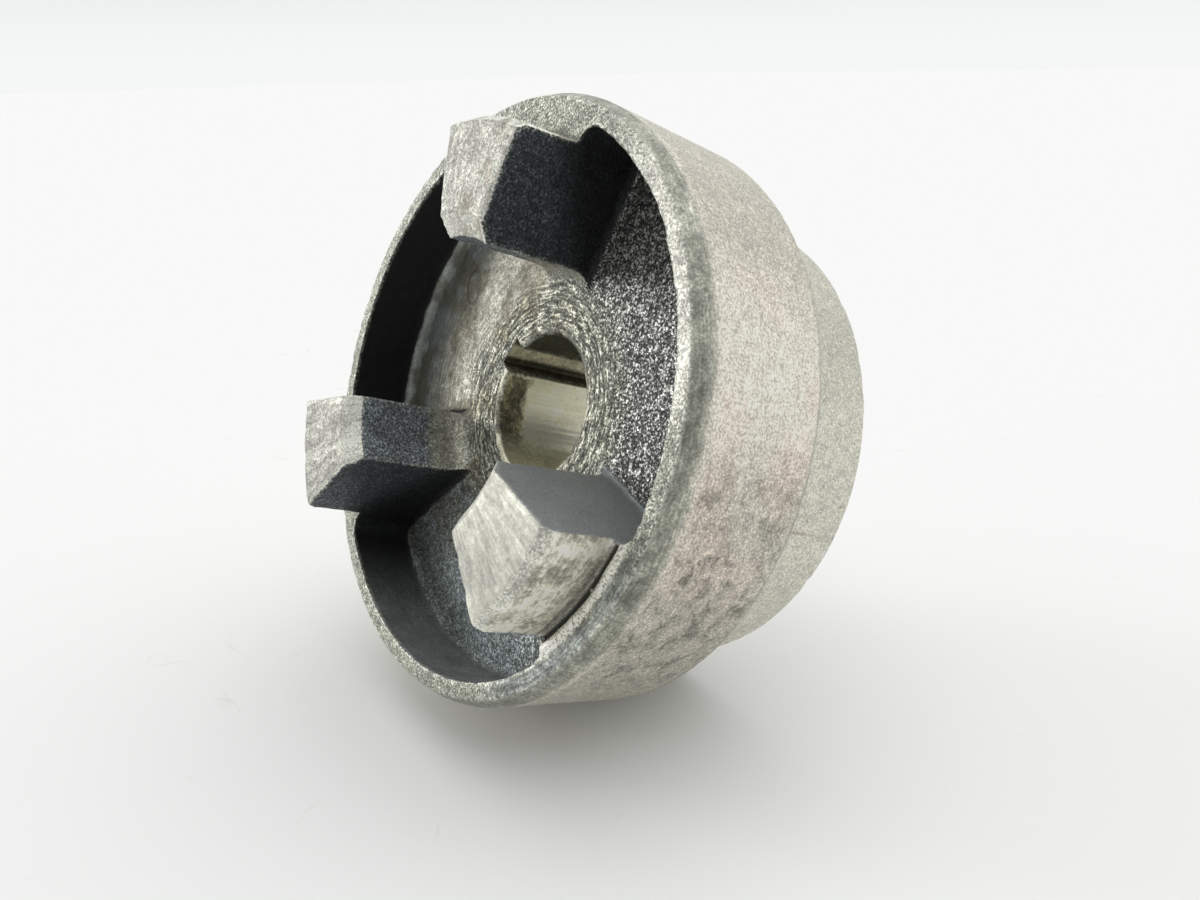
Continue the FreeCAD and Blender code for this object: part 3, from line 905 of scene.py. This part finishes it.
def screw_rings(length):
    """The rings of a set screw from the middle of its cup point to the middle of its socket.

    Each ring is (distance from the tip, radius at each column, whether it shows an edge)."""
    turns = np.arange(SCREW_COLUMNS) / SCREW_COLUMNS
    around = turns * 2 * math.pi
    hexagon = SOCKET_WIDTH / 2 / np.cos((around + math.pi / 6) % (math.pi / 3) - math.pi / 6)
    plain = np.ones(SCREW_COLUMNS)
    point_radius, point_length, end_chamfer, cup_depth = 2.2, 1.6, 0.8, 0.8
    closed, rounding = 0.05, 0.12
    root = SCREW_RADIUS - THREAD_DEPTH
    rings = [(cup_depth, plain * closed, 0), (cup_depth / 2, plain * 1.0, 0),
             (0.08, plain * (point_radius - 0.25), 0), (0.0, plain * (point_radius - rounding), 1),
             (0.1, plain * point_radius, 1)]
    rows = int(round((length - 0.3) / THREAD_PITCH * ROWS_PER_TURN))
    for row in range(1, rows):
        along = 0.1 + (length - 0.2) * row / rows
        phase = (along / THREAD_PITCH - turns) % 1.0
        crest = np.clip((np.abs(2 * phase - 1) - 0.12) / 0.76, 0, 1)
        thread = root + THREAD_DEPTH * crest
        point_cone = point_radius + (SCREW_RADIUS - point_radius) * along / point_length
        end_cone = SCREW_RADIUS - end_chamfer + (length - along)
        radius = np.minimum(thread, min(point_cone, end_cone, SCREW_RADIUS))
        rings.append((along, radius, crest * (radius > root + 0.7 * THREAD_DEPTH)))
    socket_floor, drill_radius, drill_depth = length - SOCKET_DEPTH, 1.9, 0.9
    rings += [(length - 0.04, plain * (SCREW_RADIUS - end_chamfer), 1),
              (length, plain * (SCREW_RADIUS - 0.95), 1), (length, hexagon + rounding, 1),
              (length - rounding, hexagon, 0), (socket_floor, hexagon, 0),
              (socket_floor, plain * drill_radius, 0), (socket_floor - drill_depth, plain * closed, 0)]
    return rings


def set_screw(name, node, body, angle_deg, finish):
    """A socket set screw with a cup point, threaded over its whole length, where the CAD screw is."""
    direction = screw_direction(angle_deg)
    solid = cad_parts[node].data
    reach = read_vectors(solid.vertices, "co", len(solid.vertices)) @ direction / MM
    tip, length = reach.min(), reach.max() - reach.min()
    side = np.cross(direction, (0.0, 1.0, 0.0))
    around = np.arange(SCREW_COLUMNS) / SCREW_COLUMNS * 2 * math.pi
    spokes = np.outer(np.cos(around), (0.0, 1.0, 0.0)) + np.outer(np.sin(around), side)
    rings = screw_rings(length)
    points, shown = [], []
    for along, radius, edge in rings:
        middle = direction * (tip + along) - np.array((0.0, SCREW_SETBACK, 0.0))
        points.append((middle + spokes * np.reshape(radius, (-1, 1))) * MM)
        shown.append(np.ones(SCREW_COLUMNS) * edge)
    faces = []
    for ring in range(len(rings) - 1):
        for column in range(SCREW_COLUMNS):
            first = ring * SCREW_COLUMNS + column
            beside = ring * SCREW_COLUMNS + (column + 1) % SCREW_COLUMNS
            faces.append((first, beside, beside + SCREW_COLUMNS, first + SCREW_COLUMNS))
    last = (len(rings) - 1) * SCREW_COLUMNS
    faces.append(tuple(reversed(range(SCREW_COLUMNS))))
    faces.append(tuple(range(last, last + SCREW_COLUMNS)))
    mesh = bpy.data.meshes.new(name)
    mesh.from_pydata(np.concatenate(points).tolist(), [], faces)
    noted = mesh.attributes.new("edge", "FLOAT", "POINT")
    noted.data.foreach_set("value", np.concatenate(shown).astype(np.float32))
    mesh.validate()
    mesh.materials.append(finish)
    piece = bpy.data.objects.new(name, mesh)
    bpy.context.scene.collection.objects.link(piece)
    mesh.shade_smooth()
    mesh.set_sharp_from_angle(angle=math.radians(38))
    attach(piece, body)
    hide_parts(node)


# ---------------------------------------------------------------------- the scene

def make_floor():
    """A wide sheet of white paper under the hub."""
    normal, contact = resting_plane()
    half = 6.0
    sheet = bpy.data.meshes.new("floor")
    corners = [(-half, -half, 0), (half, -half, 0), (half, half, 0), (-half, half, 0)]
    sheet.from_pydata(corners, [], [(0, 1, 2, 3)])
    sheet.materials.append(studio_paper())
    floor = bpy.data.objects.new("floor", sheet)
    floor.matrix_world = Matrix.Translation(contact) @ normal.to_track_quat("Z", "Y").to_matrix().to_4x4()
    bpy.context.scene.collection.objects.link(floor)


def make_light():
    """A pale room, dimmer on the side where one stands to look, with a window and a soft light above."""
    world = bpy.data.worlds.new("room")
    world.use_nodes = True
    board = Board(world.node_tree)
    background = world.node_tree.nodes["Background"]
    background.inputs["Color"].default_value = screen_colour(242, 244, 243)
    direction = board.add("ShaderNodeTexCoord").outputs["Generated"]
    towards_viewer = board.vector("DOT_PRODUCT", direction, tuple(-CAMERA_FORWARD))
    above_paper = board.vector("DOT_PRODUCT", direction, tuple(resting_plane()[0]))
    lit = board.step(towards_viewer, 0.1, 0.9, 1.05, 0.35)
    backdrop = board.step(above_paper, 0.0, 0.10, 1.03, 0.92)
    seen = board.add("ShaderNodeLightPath").outputs["Is Camera Ray"]
    board.feed(background.inputs["Strength"], board.fade(seen, lit, backdrop))
    bpy.context.scene.world = world
    make_sun("window_light", Vector((0.80, 0.59, -0.03)), 0.75, 18.0, (1.0, 1.0, 1.0))
    make_sun("soft_top_light", Vector((-0.15, 0.15, -1.0)), 1.2, 80.0, (1.0, 0.99, 0.97))
    bpy.context.scene.view_settings.view_transform = "Standard"


make_camera()
make_floor()
make_light()

places = hub_places_group()
speckle = metal_speckle_group()
grime = grime_patches_group()
lines = turned_lines_group(places)
smears = radial_smears_group(places)
hub_surface(cast_aluminium(places, speckle, grime, lines, smears))
screw_finish = black_steel()
set_screw("key_screw_body", "key_set_screw", "key_screw", KEYWAY_ANGLE, screw_finish)
set_screw("shaft_screw_body", "shaft_set_screw", "shaft_screw", SHAFT_SCREW_ANGLE, screw_finish)
